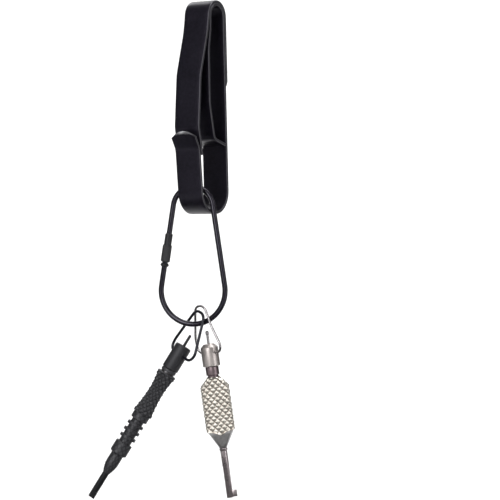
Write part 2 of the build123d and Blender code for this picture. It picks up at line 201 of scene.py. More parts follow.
def knurl_group():
    """Grooves cut into a surface that carries its own around, along, mask and inward values."""
    tree, given = geometry_group(
        "Knurl",
        [
            ("Count around", "NodeSocketFloat"),
            ("Pitch along", "NodeSocketFloat"),
            ("Depth", "NodeSocketFloat"),
            ("Flat share", "NodeSocketFloat"),
            ("Crossed", "NodeSocketFloat"),
            ("Material", "NodeSocketMaterial"),
        ],
    )

    def own(name, kind="FLOAT"):
        return add(tree, "GeometryNodeInputNamedAttribute", name, data_type=kind).outputs[0]

    turns = maths(tree, "MULTIPLY", own("around"), given["Count around"])
    steps = maths(tree, "DIVIDE", own("along"), given["Pitch along"])
    lines = []
    for operation in ("ADD", "SUBTRACT"):
        wave = maths(tree, "PINGPONG", maths(tree, operation, turns, steps), 0.5)
        lines.append(maths(tree, "MULTIPLY", wave, 2.0))
    single = maths(tree, "SUBTRACT", 1.0, given["Crossed"])
    other = maths(tree, "ADD", lines[1], maths(tree, "MULTIPLY", single, 2.0))
    height = maths(tree, "DIVIDE", maths(tree, "MINIMUM", lines[0], other), given["Flat share"], clamp=True)
    cut = maths(tree, "MULTIPLY", maths(tree, "SUBTRACT", 1.0, height), given["Depth"])
    cut = maths(tree, "MULTIPLY", cut, own("mask"))
    moved = add(
        tree,
        "GeometryNodeSetPosition",
        given["Geometry"],
        named={"Offset": vector_maths(tree, "SCALE", own("inward", "FLOAT_VECTOR"), cut)},
    )
    # The groove's depth share, which the finishes use for painted shade in the grooves
    kept = add(
        tree,
        "GeometryNodeStoreNamedAttribute",
        moved.outputs[0],
        data_type="FLOAT",
        domain="POINT",
        named={"Name": "groove_shade", "Value": maths(tree, "SUBTRACT", 1.0, height)},
    )
    return close_group(tree, kept.outputs[0], given["Material"])


WIRE = wire_group()
STRIP = strip_group()
KNURL = knurl_group()


def run_nodes(obj, group, name, values, smooth=35):
    """The plain mesh that a node group makes of an object, in place of that object."""
    modifier = obj.modifiers.new("nodes", "NODES")
    modifier.node_group = group
    keys = {item.name: item.identifier for item in group.interface.items_tree if item.in_out == "INPUT"}
    for label, value in values.items():
        modifier[keys[label]] = value
    bpy.context.view_layer.update()
    mesh = bpy.data.meshes.new_from_object(obj.evaluated_get(bpy.context.evaluated_depsgraph_get()))
    bpy.data.objects.remove(obj)
    return finished(mesh, name, values["Material"], smooth)


def finished(mesh, name, material, smooth=35):
    """An object of a mesh, with outward faces and edges sharp above an angle."""
    rough = bmesh.new()
    rough.from_mesh(mesh)
    bmesh.ops.remove_doubles(rough, verts=rough.verts, dist=1e-7)
    bmesh.ops.recalc_face_normals(rough, faces=rough.faces)
    rough.to_mesh(mesh)
    rough.free()
    mesh.name = name
    mesh.materials.clear()
    mesh.materials.append(material)
    mesh.polygons.foreach_set("material_index", [0] * len(mesh.polygons))
    mesh.shade_smooth()
    mesh.set_sharp_from_angle(angle=radians(smooth))
    obj = bpy.data.objects.new(name, mesh)
    bpy.context.scene.collection.objects.link(obj)
    return obj


def settle(piece, body, nodes=()):
    """A piece moves with a body and stands for CAD nodes."""
    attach(piece, body)
    if nodes:
        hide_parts(*nodes)
    return piece


# ---------------------------------------------------------------- shared shapes
def rounded(points, radii, step=radians(7)):
    """A polyline with its inner corners rounded."""
    points = [Vector(point) for point in points]
    line = [points[0]]
    for before, corner, after, radius in zip(points, points[1:], points[2:], radii):
        back, on = (before - corner).normalized(), (after - corner).normalized()
        half = back.angle(on) / 2
        if radius <= 0 or half > radians(89.9):
            line.append(corner)
            continue
        middle = corner + (back + on).normalized() * (radius / sin(half))
        start = corner + back * (radius / (sin(half) / cos(half))) - middle
        end = corner + on * (radius / (sin(half) / cos(half))) - middle
        turn = start.angle(end)
        count = max(2, ceil(turn / step))
        for k in range(count + 1):
            share = k / count
            line.append(middle + (start * sin((1 - share) * turn) + end * sin(share * turn)) / sin(turn))
    line.append(points[-1])
    return line


def even(line, gap):
    """The same line with no two points further apart than a gap."""
    out = [line[0]]
    for a, b in zip(line, line[1:]):
        count = max(1, ceil((b - a).length / gap))
        out += [a + (b - a) * (k / count) for k in range(1, count + 1)]
    return out


def path_object(line, name):
    curve = bpy.data.curves.new(name, "CURVE")
    curve.dimensions = "3D"
    spline = curve.splines.new("POLY")
    spline.points.add(len(line) - 1)
    for point, place in zip(spline.points, line):
        point.co = (*place, 1)
    obj = bpy.data.objects.new(name, curve)
    bpy.context.scene.collection.objects.link(obj)
    return obj


class Axle:
    """A key's own frame: up its axis, across it in the keys' plane, and away from the camera."""

    def __init__(self, place, up):
        self.place = Vector(place)
        self.up = Vector(up).normalized()
        self.away = (AWAY - self.up * AWAY.dot(self.up)).normalized()
        self.across = self.away.cross(self.up)


def turned(axle, profile, name, material, sides=64, smooth=35, marks=None, facets=None):
    """A turned piece from its half outline in millimetres, radius then height, from the axis or as a loop.

    marks gives each outline point a knurl mask. facets gives the count, the low and the high end of flats.
    """
    mesh = bpy.data.meshes.new(name)
    verts, faces, around, along, mask, inward = [], [], [], [], [], []
    solid = profile[0][0] == 0
    rows = []
    for k, (radius, height) in enumerate(profile):
        ring = []
        count = 1 if radius == 0 else sides
        for j in range(count):
            angle = 2 * pi * j / sides
            out = axle.across * cos(angle) + axle.away * sin(angle)
            reach = radius
            if facets and facets[1] <= height <= facets[2]:
                part = 2 * pi / facets[0]
                reach = radius * cos(part / 2) / cos((angle % part) - part / 2)
            ring.append(len(verts))
            verts.append(axle.place + (out * reach + axle.up * height) * MM)
            around.append(j / sides)
            along.append(height * MM)
            mask.append(marks[k] if marks else 0.0)
            inward.append(-out)
        rows.append(ring)
    pairs = list(zip(rows, rows[1:]))
    if not solid:
        pairs.append((rows[-1], rows[0]))
    for low, high in pairs:
        for j in range(sides):
            corners = [low[j % len(low)], low[(j + 1) % len(low)]]
            corners += [high[(j + 1) % len(high)], high[j % len(high)]]
            corners = list(dict.fromkeys(corners))
            if len(corners) > 2:
                faces.append(corners)
    mesh.from_pydata(verts, [], faces)
    for label, values in (("around", around), ("along", along), ("mask", mask)):
        mesh.attributes.new(label, "FLOAT", "POINT").data.foreach_set("value", values)
    flat = [c for vector in inward for c in vector]
    mesh.attributes.new("inward", "FLOAT_VECTOR", "POINT").data.foreach_set("vector", flat)
    if marks:
        obj = bpy.data.objects.new(name, mesh)
        obj.data.materials.append(material)
        bpy.context.scene.collection.objects.link(obj)
        return obj
    return finished(mesh, name, material, smooth)


def soften(profile, radius):
    """A half outline with its corners rounded, except those on the axis."""
    points = [Vector((a, b, 0)) for a, b in profile]
    radii = [radius] * (len(points) - 2)
    shortest = [min((b - a).length, (c - b).length) for a, b, c in zip(points, points[1:], points[2:])]
    radii = [min(r, gap * 0.4) for r, gap in zip(radii, shortest)]
    return [(max(0.0, p.x), p.y) for p in rounded(points, radii, radians(22))]


def drill(obj, place, direction, radius, length):
    """Cuts a round hole through a piece."""
    mesh = bpy.data.meshes.new("drill")
    shape = bmesh.new()
    turn = direction.to_track_quat("Z", "Y").to_matrix().to_4x4()
    where = Matrix.Translation(place) @ turn
    bmesh.ops.create_cone(
        shape, cap_ends=True, segments=32, radius1=radius, radius2=radius, depth=length, matrix=where
    )
    shape.to_mesh(mesh)
    shape.free()
    tool = bpy.data.objects.new("drill", mesh)
    bpy.context.scene.collection.objects.link(tool)
    cut = obj.modifiers.new("cut", "BOOLEAN")
    cut.operation = "DIFFERENCE"
    cut.object = tool
    bpy.context.view_layer.update()
    result = bpy.data.meshes.new_from_object(obj.evaluated_get(bpy.context.evaluated_depsgraph_get()))
    name, material = obj.name, obj.data.materials[0]
    bpy.data.objects.remove(obj)
    bpy.data.objects.remove(tool)
    return finished(result, name, material)


def block(corner, sides, name, material, bevel):
    """A box from its middle and three half sides as vectors, with bevelled edges."""
    shape = bmesh.new()
    verts = [
        shape.verts.new(Vector(corner) + sides[0] * a + sides[1] * b + sides[2] * c)
        for a in (-1, 1)
        for b in (-1, 1)
        for c in (-1, 1)
    ]
    for face in ((0, 1, 3, 2), (4, 6, 7, 5), (0, 4, 5, 1), (2, 3, 7, 6), (0, 2, 6, 4), (1, 5, 7, 3)):
        shape.faces.new([verts[k] for k in face])
    bmesh.ops.recalc_face_normals(shape, faces=shape.faces)
    bmesh.ops.bevel(shape, geom=shape.edges[:], offset=bevel, segments=2, affect="EDGES", profile=0.5)
    mesh = bpy.data.meshes.new(name)
    shape.to_mesh(mesh)
    shape.free()
    return finished(mesh, name, material)


# ---------------------------------------------------------------- materials
def finish_of(name, colour, second, metallic, rough, spread, grain, bump, groove_shade=None, painted_highlight=None):
    """A metal finish: two close colours in fine grain and an uneven shine.

    The colour given for the bottom of knurling or thread is painted shade there, and the colour given for the
    strips' edges and tips is a painted highlight on them.
    """
    material = bpy.data.materials.new(name)
    material.use_nodes = True
    tree = material.node_tree
    tree.nodes.clear()
    place = add(tree, "ShaderNodeTexCoord").outputs["Object"]
    speckle = {"Scale": grain, "Detail": 4.0, "Roughness": 0.6}
    fine = add(tree, "ShaderNodeTexNoise", place, named=speckle).outputs["Fac"]
    wide = add(tree, "ShaderNodeTexNoise", place, named={"Scale": 70.0, "Detail": 3.0}).outputs["Fac"]
    blend = maths(tree, "ADD", maths(tree, "MULTIPLY", fine, 0.6), maths(tree, "MULTIPLY", wide, 0.4))
    share = add(tree, "ShaderNodeMapRange", blend, 0.35, 0.65, 0.0, 1.0).outputs[0]
    mix = add(tree, "ShaderNodeMix", data_type="RGBA")
    tree.links.new(share, mix.inputs[0])
    mix.inputs[6].default_value = (*colour, 1)
    mix.inputs[7].default_value = (*second, 1)
    tint = mix.outputs[2]
    # Painted shade: darker towards the bottom of knurl grooves
    if groove_shade:
        low = add(tree, "ShaderNodeAttribute", attribute_name="groove_shade", attribute_type="GEOMETRY")
        low = low.outputs["Fac"]
        deep = add(tree, "ShaderNodeMapRange", low, 0.5, 1.0, 0.0, 1.0).outputs[0]
        dark = add(tree, "ShaderNodeMix", data_type="RGBA")
        tree.links.new(deep, dark.inputs[0])
        tree.links.new(tint, dark.inputs[6])
        dark.inputs[7].default_value = (*groove_shade, 1)
        tint = dark.outputs[2]
    # Painted highlight: lighter on a strip's softened edges and rounded tip
    if painted_highlight:
        highlight_share = add(tree, "ShaderNodeAttribute", attribute_name="painted_highlight", attribute_type="GEOMETRY")
        highlight_share = highlight_share.outputs["Fac"]
        highlit = add(tree, "ShaderNodeMix", data_type="RGBA")
        tree.links.new(highlight_share, highlit.inputs[0])
        tree.links.new(tint, highlit.inputs[6])
        highlit.inputs[7].default_value = (*painted_highlight, 1)
        tint = highlit.outputs[2]
    glossiest = max(0.02, rough - spread)
    shine = add(tree, "ShaderNodeMapRange", blend, 0.3, 0.7, glossiest, rough + spread).outputs[0]
    pits = {"Strength": bump, "Distance": 0.0002, "Height": fine}
    relief = add(tree, "ShaderNodeBump", named=pits).outputs[0]
    shader = add(tree, "ShaderNodeBsdfPrincipled")
    tree.links.new(tint, shader.inputs["Base Color"])
    tree.links.new(shine, shader.inputs["Roughness"])
    tree.links.new(relief, shader.inputs["Normal"])
    shader.inputs["Metallic"].default_value = metallic
    shader.inputs["Specular IOR Level"].default_value = 0.35
    out = add(tree, "ShaderNodeOutputMaterial")
    tree.links.new(shader.outputs[0], out.inputs[0])
    return material


oxide = finish_of(
    "black oxide strip",
    (0.007, 0.006, 0.011),
    (0.013, 0.011, 0.019),
    metallic=0.6, rough=0.36, spread=0.06, grain=700, bump=0.05,
    # Painted highlight colour for the strips' edges and tips
    painted_highlight=(0.85, 0.85, 0.88),
)
ring_coat = finish_of(
    "black ring wire",
    (0.012, 0.011, 0.016),
    (0.022, 0.020, 0.028),
    metallic=0.5, rough=0.16, spread=0.05, grain=900, bump=0.03,
)
bail_coat = finish_of(
    "black bail wire",
    (0.012, 0.012, 0.017),
    (0.020, 0.020, 0.027),
    metallic=0.5, rough=0.30, spread=0.05, grain=900, bump=0.03,
)
lock_black = finish_of(
    "black ferrule",
    (0.010, 0.010, 0.012),
    (0.018, 0.018, 0.020),
    metallic=0.3, rough=0.45, spread=0.06, grain=900, bump=0.05,
)
nut_grey = finish_of(
    "charcoal nut",
    (0.028, 0.028, 0.030),
    (0.042, 0.042, 0.044),
    metallic=0.3, rough=0.52, spread=0.06, grain=900, bump=0.1,
    # Painted shade at the bottom of the nut's knurl grooves
    groove_shade=(0.012, 0.012, 0.013),
)
anodised = finish_of(
    "charcoal anodised barrel",
    (0.019, 0.019, 0.022),
    (0.030, 0.030, 0.033),
    metallic=0.35, rough=0.50, spread=0.06, grain=1100, bump=0.08,
)
grip_black = finish_of(
    "charcoal grip",
    (0.030, 0.030, 0.034),
    (0.046, 0.046, 0.050),
    metallic=0.3, rough=0.48, spread=0.07, grain=1100, bump=0.1,
    # Painted shade at the bottom of the grip's knurl grooves
    groove_shade=(0.012, 0.012, 0.014),
)
tube_black = finish_of(
    "black tube",
    (0.010, 0.010, 0.012),
    (0.018, 0.018, 0.020),
    metallic=0.3, rough=0.42, spread=0.06, grain=1100, bump=0.05,
)
dull_steel = finish_of(
    "dull steel",
    (0.03, 0.029, 0.031),
    (0.05, 0.048, 0.05),
    metallic=0.8, rough=0.45, spread=0.06, grain=900, bump=0.05,
)
washer_steel = finish_of(
    "plain steel washer",
    (0.07, 0.068, 0.072),
    (0.11, 0.105, 0.11),
    metallic=0.9, rough=0.35, spread=0.06, grain=900, bump=0.04,
)
bail_steel = finish_of(
    "drawn steel wire",
    (0.30, 0.29, 0.30),
    (0.42, 0.40, 0.40),
    metallic=0.95, rough=0.26, spread=0.05, grain=900, bump=0.03,
)
nickel = finish_of(
    "satin nickel barrel",
    (0.40, 0.365, 0.35),
    (0.50, 0.46, 0.44),
    metallic=0.9, rough=0.42, spread=0.06, grain=1100, bump=0.05,
)
neck_nickel = finish_of(
    "mauve nickel neck",
    (0.15, 0.115, 0.125),
    (0.22, 0.175, 0.185),
    metallic=0.9, rough=0.32, spread=0.06, grain=1100, bump=0.04,
)
bright_nickel = finish_of(
    "bright nickel body",
    (0.78, 0.74, 0.66),
    (0.90, 0.86, 0.78),
    metallic=0.85, rough=0.32, spread=0.08, grain=1100, bump=0.08,
    # Painted shade at the bottom of the body's knurl grooves
    groove_shade=(0.22, 0.18, 0.15),
)
cone_nickel = finish_of(
    "grey nickel cone",
    (0.31, 0.305, 0.305),
    (0.44, 0.43, 0.43),
    metallic=0.9, rough=0.36, spread=0.08, grain=1100, bump=0.14,
)
shaft_nickel = finish_of(
    "mauve nickel shaft",
    (0.34, 0.295, 0.305),
    (0.48, 0.43, 0.435),
    metallic=0.9, rough=0.30, spread=0.06, grain=1100, bump=0.04,
)

CARRIED = {"black_retaining_ring": dull_steel, "silver_retaining_ring": dull_steel}
for node, material in CARRIED.items():
    for slot in frame["nodes"][node].material_slots:
        slot.link = "OBJECT"
        slot.material = material

# ---------------------------------------------------------------- clip strips
low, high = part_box("clip_frame")
STRIP_W = (high.x - low.x) / MM
STRIP_T = 1.55
HOOK_AT = [c / MM for c in joints["hook_flex"]["pos_m"]]
LATCH_AT = [c / MM for c in joints["latch_flex"]["pos_m"]]
ARC_Z = 26.0
INNER_R = 5.6 + STRIP_T / 2
OUTER_R = INNER_R + STRIP_T
BACK_LEAN = radians(2.6)
FRONT_LEAN = radians(6.6)
LIP_FLARE = radians(33)
LIP_BEND = (-16.7, -44.3)
LIP_LENGTH = 10.2
LIP_ROUND, LIP_REACH = 10.2, 4.0
EDGE_ROUND = 0.42
BOTTOM_Z = -77.5
LOOP_R = 11.6
FOOT_Z = -41.3
# A tip this far off shapes nothing, for strips with plain ends
NO_TIP = Vector((0, 10, 0))


def arc_over(radius, start, end, count):
    """Points of an arc over the belt, from one angle to another, measured from the back."""
    angles = [start + (end - start) * k / count for k in range(count + 1)]
    return [(0, radius * cos(a), ARC_Z + radius * sin(a)) for a in angles]


def back_point(radius, z):
    y, top = radius * cos(BACK_LEAN), ARC_Z + radius * sin(BACK_LEAN)
    return (0, y + (top - z) * sin(BACK_LEAN) / cos(BACK_LEAN), z)


def front_point(z):
    return (0, LIP_BEND[0] + (LIP_BEND[1] - z) * sin(FRONT_LEAN) / cos(FRONT_LEAN), z)


def strip(line, name, tip=False):
    """A strip along a line in millimetres, whose tip, if it has one, is rounded across."""
    line = even([Vector(p) * MM for p in line], 1.2 * MM)
    way = (line[-1] - line[-2]).normalized()
    obj = path_object(line, name)
    values = {
        "Width": STRIP_W * MM,
        "Thickness": STRIP_T * MM,
        "Edge round": EDGE_ROUND * MM,
        "Tip": line[-1] if tip else NO_TIP,
        "Tip direction": way if tip else Z,
        "Tip round": LIP_ROUND * MM,
        "Tip reach": LIP_REACH * MM,
        "Material": oxide,
    }
    return run_nodes(obj, STRIP, name, values, smooth=25)


foot = (0, back_point(INNER_R, FOOT_Z)[1] - STRIP_T / 2 - 0.5, FOOT_Z)
hook_line = [foot, (0, -2.2, -38.6), (0, -6.9, -20.4), (0, -7.8, 9.0), (0, -6.2, 19.0)]
hook_line = rounded(hook_line + [(0, HOOK_AT[1], HOOK_AT[2])], [3.5, 25, 20, 20])
hook_line += [Vector(p) for p in arc_over(INNER_R, pi, BACK_LEAN, 26)]
hook_strip = strip(hook_line, "hook_strip")
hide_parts("belt_hook")

lip_end = (0, LIP_BEND[0] - LIP_LENGTH * sin(LIP_FLARE), LIP_BEND[1] + LIP_LENGTH * cos(LIP_FLARE))
back_top = back_point(INNER_R, ARC_Z + INNER_R * sin(BACK_LEAN))
frame_line = [back_top, back_point(INNER_R, BOTTOM_Z), front_point(BOTTOM_Z), (0, *LIP_BEND), lip_end]
frame_line = rounded(frame_line, [LOOP_R, LOOP_R, 8], radians(4))
settle(strip(frame_line, "loop_strip", tip=True), "clip", ["clip_frame"])

latch_line = [Vector(p) for p in arc_over(OUTER_R, BACK_LEAN, pi, 26)]
latch_front = [(0, -9.4, 16.5), (0, -15.7, -5.5), (0, -17.3, -33.0), (0, -13.9, -47.5)]
latch_line += rounded([(0, LATCH_AT[1], LATCH_AT[2])] + latch_front, [14, 22, 8])
latch_strip = strip(latch_line, "latch_strip")
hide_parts("latch_arm")

# The tail's end thins over its last stretch, against the inner strip
TAIL_Z = -10.0
BEVEL, BEVEL_SHARE = 2.2, 0.77
tail_line = [back_point(OUTER_R, ARC_Z + OUTER_R * sin(BACK_LEAN)), back_point(OUTER_R, TAIL_Z)]
tail_strip = strip(tail_line, "tail_strip")
for vert in tail_strip.data.vertices:
    below = min(1.0, max(0.0, (TAIL_Z + BEVEL - vert.co.z / MM) / BEVEL))
    inner = back_point(OUTER_R - STRIP_T / 2, vert.co.z / MM)[1] * MM
    vert.co.y = inner + (vert.co.y - inner) * (1 - BEVEL_SHARE * below)
settle(tail_strip, "clip", ["latch_band"])

# ---------------------------------------------------------------- key ring
bail_joint = joints["black_bail_on_ring"]
ring_out = Vector(bail_joint["axis"]).normalized()
ring_across = Z.cross(ring_out).normalized()
if ring_across.x < 0:
    ring_across = -ring_across
ring_low = Vector(bail_joint["pos_m"])
RING_LOW_Z = ring_low.z / MM
RING_LOW_R, RING_TOP_R, RING_TOP_Z = 17.7, 11.0, -75.0
WIRE_R = 1.45
slope = (RING_LOW_R - RING_TOP_R) / (RING_TOP_Z - RING_LOW_Z)
lean = sqrt(1 - slope * slope)


def on_ring(across, z):
    """A point in the ring's plane, in metres."""
    return Vector((ring_low.x, ring_low.y, 0)) + (ring_across * across + Z * z) * MM


def left_side(z):
    return (-RING_LOW_R * lean + (z - RING_LOW_Z - RING_LOW_R * slope) * slope / lean, z)


turn = asin(slope)
ring_line = [on_ring(*left_side(-100.4))]
for k in range(73):
    angle = pi - turn + (pi + 2 * turn) * k / 72
    ring_line.append(on_ring(RING_LOW_R * cos(angle), RING_LOW_Z + RING_LOW_R * sin(angle)))
for k in range(49):
    angle = turn + (pi - 2 * turn) * k / 48
    ring_line.append(on_ring(RING_TOP_R * cos(angle), RING_TOP_Z + RING_TOP_R * sin(angle)))
ring_line.append(on_ring(*left_side(-97.2)))
wire_values = {"Radius": WIRE_R * MM, "Sides": 32, "Material": ring_coat}
ring_path = path_object(even(ring_line, 2 * MM), "ring_wire_round")
ring_wire = run_nodes(ring_path, WIRE, "ring_wire_round", wire_values)
settle(ring_wire, "ring", ["ring_wire"])

lock = Axle(on_ring(*left_side(0)), joints["nut_travel"]["axis"])
along = 1 / lean


def sleeve(inner, outer, low, high, chamfer):
    """A sleeve's half outline on the ring's left side, between two heights."""
    low, high = low * along, high * along
    corners = [(inner, low), (outer - chamfer, low), (outer, low + chamfer), (outer, high - chamfer)]
    return corners + [(outer - chamfer, high), (inner, high)]


ferrule = turned(lock, sleeve(WIRE_R - 0.02, 2.0, -97.2, -88.6, 0.3), "ferrule_sleeve", lock_black, 48)
settle(ferrule, "ring", ["ring_ferrule"])
bead_outline = [(1.4, -105.9), (1.9, -105.9), (2.2, -105.5), (2.2, -104.9)]
bead_outline += [(1.95, -104.65), (2.1, -104.4), (1.9, -104.2), (1.4, -104.2)]
bead_outline = [(radius, height * along) for radius, height in soften(bead_outline, 0.12)]
bead = turned(lock, bead_outline, "bead_ring", lock_black, 48)
settle(bead, "ring", ["stop_bead"])


def fine_profile(profile, gap, marked):
    """An outline cut into short steps, with a mask of 1 where marked(radius, height) says so."""
    line = even([Vector((a, b, 0)) for a, b in profile], gap)
    points = [(max(0.0, p.x), p.y) for p in line]
    return points, [marked(*p) for p in points]


def knurled(obj, name, material, count, pitch, depth, flat_share, crossed=1.0, smooth=20):
    values = {
        "Count around": float(count),
        "Pitch along": pitch * MM,
        "Depth": depth * MM,
        "Flat share": flat_share,
        "Crossed": crossed,
        "Material": material,
    }
    return run_nodes(obj, KNURL, name, values, smooth)


NUT_LOW, NUT_HIGH = -103.4, -94.6


def nut_mark(radius, height):
    """The nut is knurled on its outside, apart from half a millimetre at each end."""
    return 1.0 if radius > 2.45 and NUT_LOW * along + 0.5 < height < NUT_HIGH * along - 0.5 else 0.0


points, marks = fine_profile(sleeve(2.1, 2.5, NUT_LOW, NUT_HIGH, 0.35), 0.15, nut_mark)
nut = turned(lock, points, "nut_raw", nut_grey, 96, marks=marks)
settle(knurled(nut, "nut_knurled", nut_grey, 12, 1.3, 0.16, 0.8), "lock_nut", ["lock_nut"])
stud_outline = sleeve(1.4, 2.0, -103.7, -100.4, 0.1)
points, marks = fine_profile(stud_outline, 0.06, lambda radius, height: 1.0 if radius > 1.95 else 0.0)
stud = turned(lock, points, "stud_raw", lock_black, 48, marks=marks)
settle(knurled(stud, "stud_thread", lock_black, 1, 0.5, 0.28, 1.0, 0.0), "ring", ["ring_stud"])


# ---------------------------------------------------------------- bails
def bail(key, swing, outline, radii, radius, material):
    """A bail bent from round wire, whose ends turn in to the barrel's holes."""
    pivot = joints[key + "_pivot"]
    axle = Axle(joints[key + "_swivel"]["pos_m"], joints[key + "_swivel"]["axis"])
    pins = Vector(pivot["axis"]).normalized()
    up = axle.up * cos(swing) + pins.cross(axle.up) * sin(swing)
    line = [axle.place + (pins * a + up * b) * MM for a, b in outline]
    line = even(rounded(line, [r * MM for r in radii], radians(6)), 1.5 * MM)
    name = key + "_bail_wire"
    values = {"Radius": radius * MM, "Sides": 24, "Material": material}
    settle(run_nodes(path_object(line, name), WIRE, name, values), key + "_bail", [key + "_bail"])
    return axle, pins


black, black_pins = bail(
    "black",
    radians(9.8),
    [(-2.4, 0), (-7.8, 0), (-7.8, 5.5), (-1.9, 25.2), (5.8, 25.2), (11.8, 5.0), (11.4, 0), (2.8, 0)],
    [3.2, 12, 4.3, 4.3, 2, 4.3],
    0.75,
    bail_coat,
)
silver_outline = [(-2.6, 0), (-9.6, 0), (-9.9, 8.0), (-4.4, 25.0), (3.2, 25.0)]
silver_outline += [(5.7, 14.0), (9.9, 4.2), (9.6, 0), (2.6, 0)]
silver, silver_pins = bail(
    "silver",
    radians(4.5),
    silver_outline,
    [3.4, 12, 4.0, 4.0, 20, 3, 3.0],
    0.65,
    bail_steel,
)

# ---------------------------------------------------------------- black key
barrel = [(0, -3.0), (3.1, -3.0), (3.1, -9.2), (4.2, -9.2), (4.45, -8.9), (4.45, 4.3)]
barrel = soften(barrel + [(4.05, 4.94), (3.2, 4.94), (2.9, 4.1), (0, 4.1)], 0.2)
piece = turned(black, barrel, "black_barrel_body", anodised, 64)
piece = drill(piece, black.place, black_pins, 0.86 * MM, 14 * MM)
settle(piece, "black_barrel", ["black_swivel_barrel"])
pin = soften([(0, 2.44), (0.75, 2.44), (0.75, 11.2), (0.4, 11.74), (0, 11.74)], 0.3)
settle(turned(black, pin, "black_pin_rod", anodised, 32), "black_barrel", ["black_lock_pin"])
# A shoulder on the stem fills the space between the barrel and the grip's washer
stem = [(0, -18.9), (1.8, -18.9), (1.8, -11.0), (4.1, -11.0), (4.1, -9.45), (1.8, -9.45)]
stem = soften(stem + [(1.8, -5.4), (2.8, -5.4), (2.8, -3.4), (0, -3.4)], 0.1)
settle(turned(black, stem, "black_stem", grip_black, 48), "black_key", ["black_swivel_stem"])
washer = soften([(1.8, -11.9), (3.7, -11.9), (3.7, -11.0), (1.8, -11.0)], 0.2)
washer = turned(black, washer, "black_washer_ring", washer_steel, 48)
settle(washer, "black_key", ["black_washer"])

WAIST_AT = 0.42
FINS, FIN_HALF, ROOT_R = (-43.8, -47.6, -51.4), 0.75, 3.3


def waist_radius(share):
    """The grip's radius at a share of the way down its waist, narrowest a little above the middle."""
    off = (share - WAIST_AT) / (1 - WAIST_AT) if share > WAIST_AT else (WAIST_AT - share) / WAIST_AT
    return 5.5 - 1.3 * (1 - off**2)


def nose_radius(height):
    """The nose is straight, and then curves in to the tube."""
    return 3.4 - 1.65 * max(0.0, (-height - 67.5) / 6.0) ** 1.6


def grip_mark(radius, height):
    """The grip is knurled along its waist."""
    return 1.0 if -36.7 < height < -12.5 and radius > 3.9 else 0.0


grip = [(0, -18.9), (1.8, -18.9), (1.8, -11.9), (4.9, -11.9), (5.35, -12.3)]
grip += [(waist_radius(k / 24), -12.6 - 24.0 * (k / 24)) for k in range(25)]
grip += [(5.35, -36.9), (4.62, -37.0), (4.62, -40.5), (ROOT_R, -41.0)]
for middle in FINS:
    top, bottom = middle + FIN_HALF, middle - FIN_HALF
    grip += [(ROOT_R, top), (4.45, top), (4.55, middle + 0.6)]
    grip += [(4.55, middle - 0.6), (4.45, bottom), (ROOT_R, bottom)]
grip += [(ROOT_R, -54.7), (4.4, -54.9), (4.62, -55.1), (4.62, -61.1)]
grip += [(4.4, -61.35), (3.45, -62.0), (3.4, -62.2)]
grip += [(nose_radius(h), h) for h in [-62.4 - 11.1 * k / 14 for k in range(15)]]
grip += [(1.74, -73.5), (1.74, -61.5), (0, -61.5)]
points, marks = fine_profile(grip, 0.26, grip_mark)
raw = turned(black, points, "grip_raw", grip_black, 120, marks=marks, facets=(12, -73.0, -62.3))
grip_piece = knurled(raw, "black_grip_knurled", grip_black, 10, 3.1, 0.75, 0.85, smooth=32)
settle(grip_piece, "black_key", ["black_grip"])


def key_tube(axle, tip, outline, name, material, body, node, bit_angle):
    """A key's tube, bored at its end, with a flag of a bit on one side."""
    bored_end = [(0, tip + 9), (1.2, tip + 9), (1.2, tip + 0.15), (1.3, tip), (1.65, tip), (1.75, tip + 0.15)]
    settle(turned(axle, bored_end + outline, name, material, 48), body, [node])
    out = axle.across * cos(bit_angle) + axle.away * sin(bit_angle)
    side = axle.up.cross(out)
    middle = axle.place + (out * 2.7 + axle.up * (tip + 2.0)) * MM
    halves = (out * 1.25 * MM, side * 0.65 * MM, axle.up * 1.8 * MM)
    settle(block(middle, halves, name + "_bit", material, 0.18 * MM), body)


outline = [(1.75, -61.6), (0, -61.6)]
key_tube(
    black,
    -88.4,
    outline,
    "black_tube",
    tube_black,
    "black_key",
    "black_key_shaft",
    radians(-72),
)

# ---------------------------------------------------------------- silver key
barrel = [(0, -2.4), (3.0, -2.4), (3.0, -7.35), (4.2, -7.35), (4.6, -7.0), (4.6, 2.7)]
barrel = soften(barrel + [(2.9, 4.5), (2.6, 4.6), (2.3, 4.3), (0, 4.3)], 0.2)
piece = turned(silver, barrel, "silver_barrel_body", nickel, 64)
piece = drill(piece, silver.place, silver_pins, 0.76 * MM, 14 * MM)
settle(piece, "silver_barrel", ["silver_swivel_barrel"])
pin = soften([(0, 2.1), (0.7, 2.1), (0.7, 9.3), (0.95, 9.7), (0.95, 10.8), (0.6, 11.5), (0, 11.5)], 0.15)
pin = turned(silver, pin, "silver_pin_rod", bail_steel, 32)
settle(pin, "silver_barrel", ["silver_lock_pin"])
stem = [(0, -20.0), (2.0, -20.0), (2.0, -13.0), (3.3, -13.0), (3.3, -12.7), (2.85, -12.5), (2.85, -12.0)]
stem += [(3.5, -11.8), (3.5, -7.5), (1.8, -7.5), (1.8, -4.4), (2.7, -4.4), (2.7, -2.7), (0, -2.7)]
stem = soften(stem, 0.12)
stem = turned(silver, stem, "silver_neck", neck_nickel, 64)
settle(stem, "silver_key", ["silver_swivel_stem"])

BODY_R, BODY_T = 7.8, 3.5
COUNT = 13
ARC = asin(BODY_T / BODY_R)
FLAT = BODY_R * cos(ARC)
ROUND = 4 * (FLAT + BODY_R * ARC)
BODY_TOP, SHOULDER, CONE_TOP, BODY_FOOT = -13.0, -17.7, -40.8, -50.7
KNURL_FOOT = -41.3


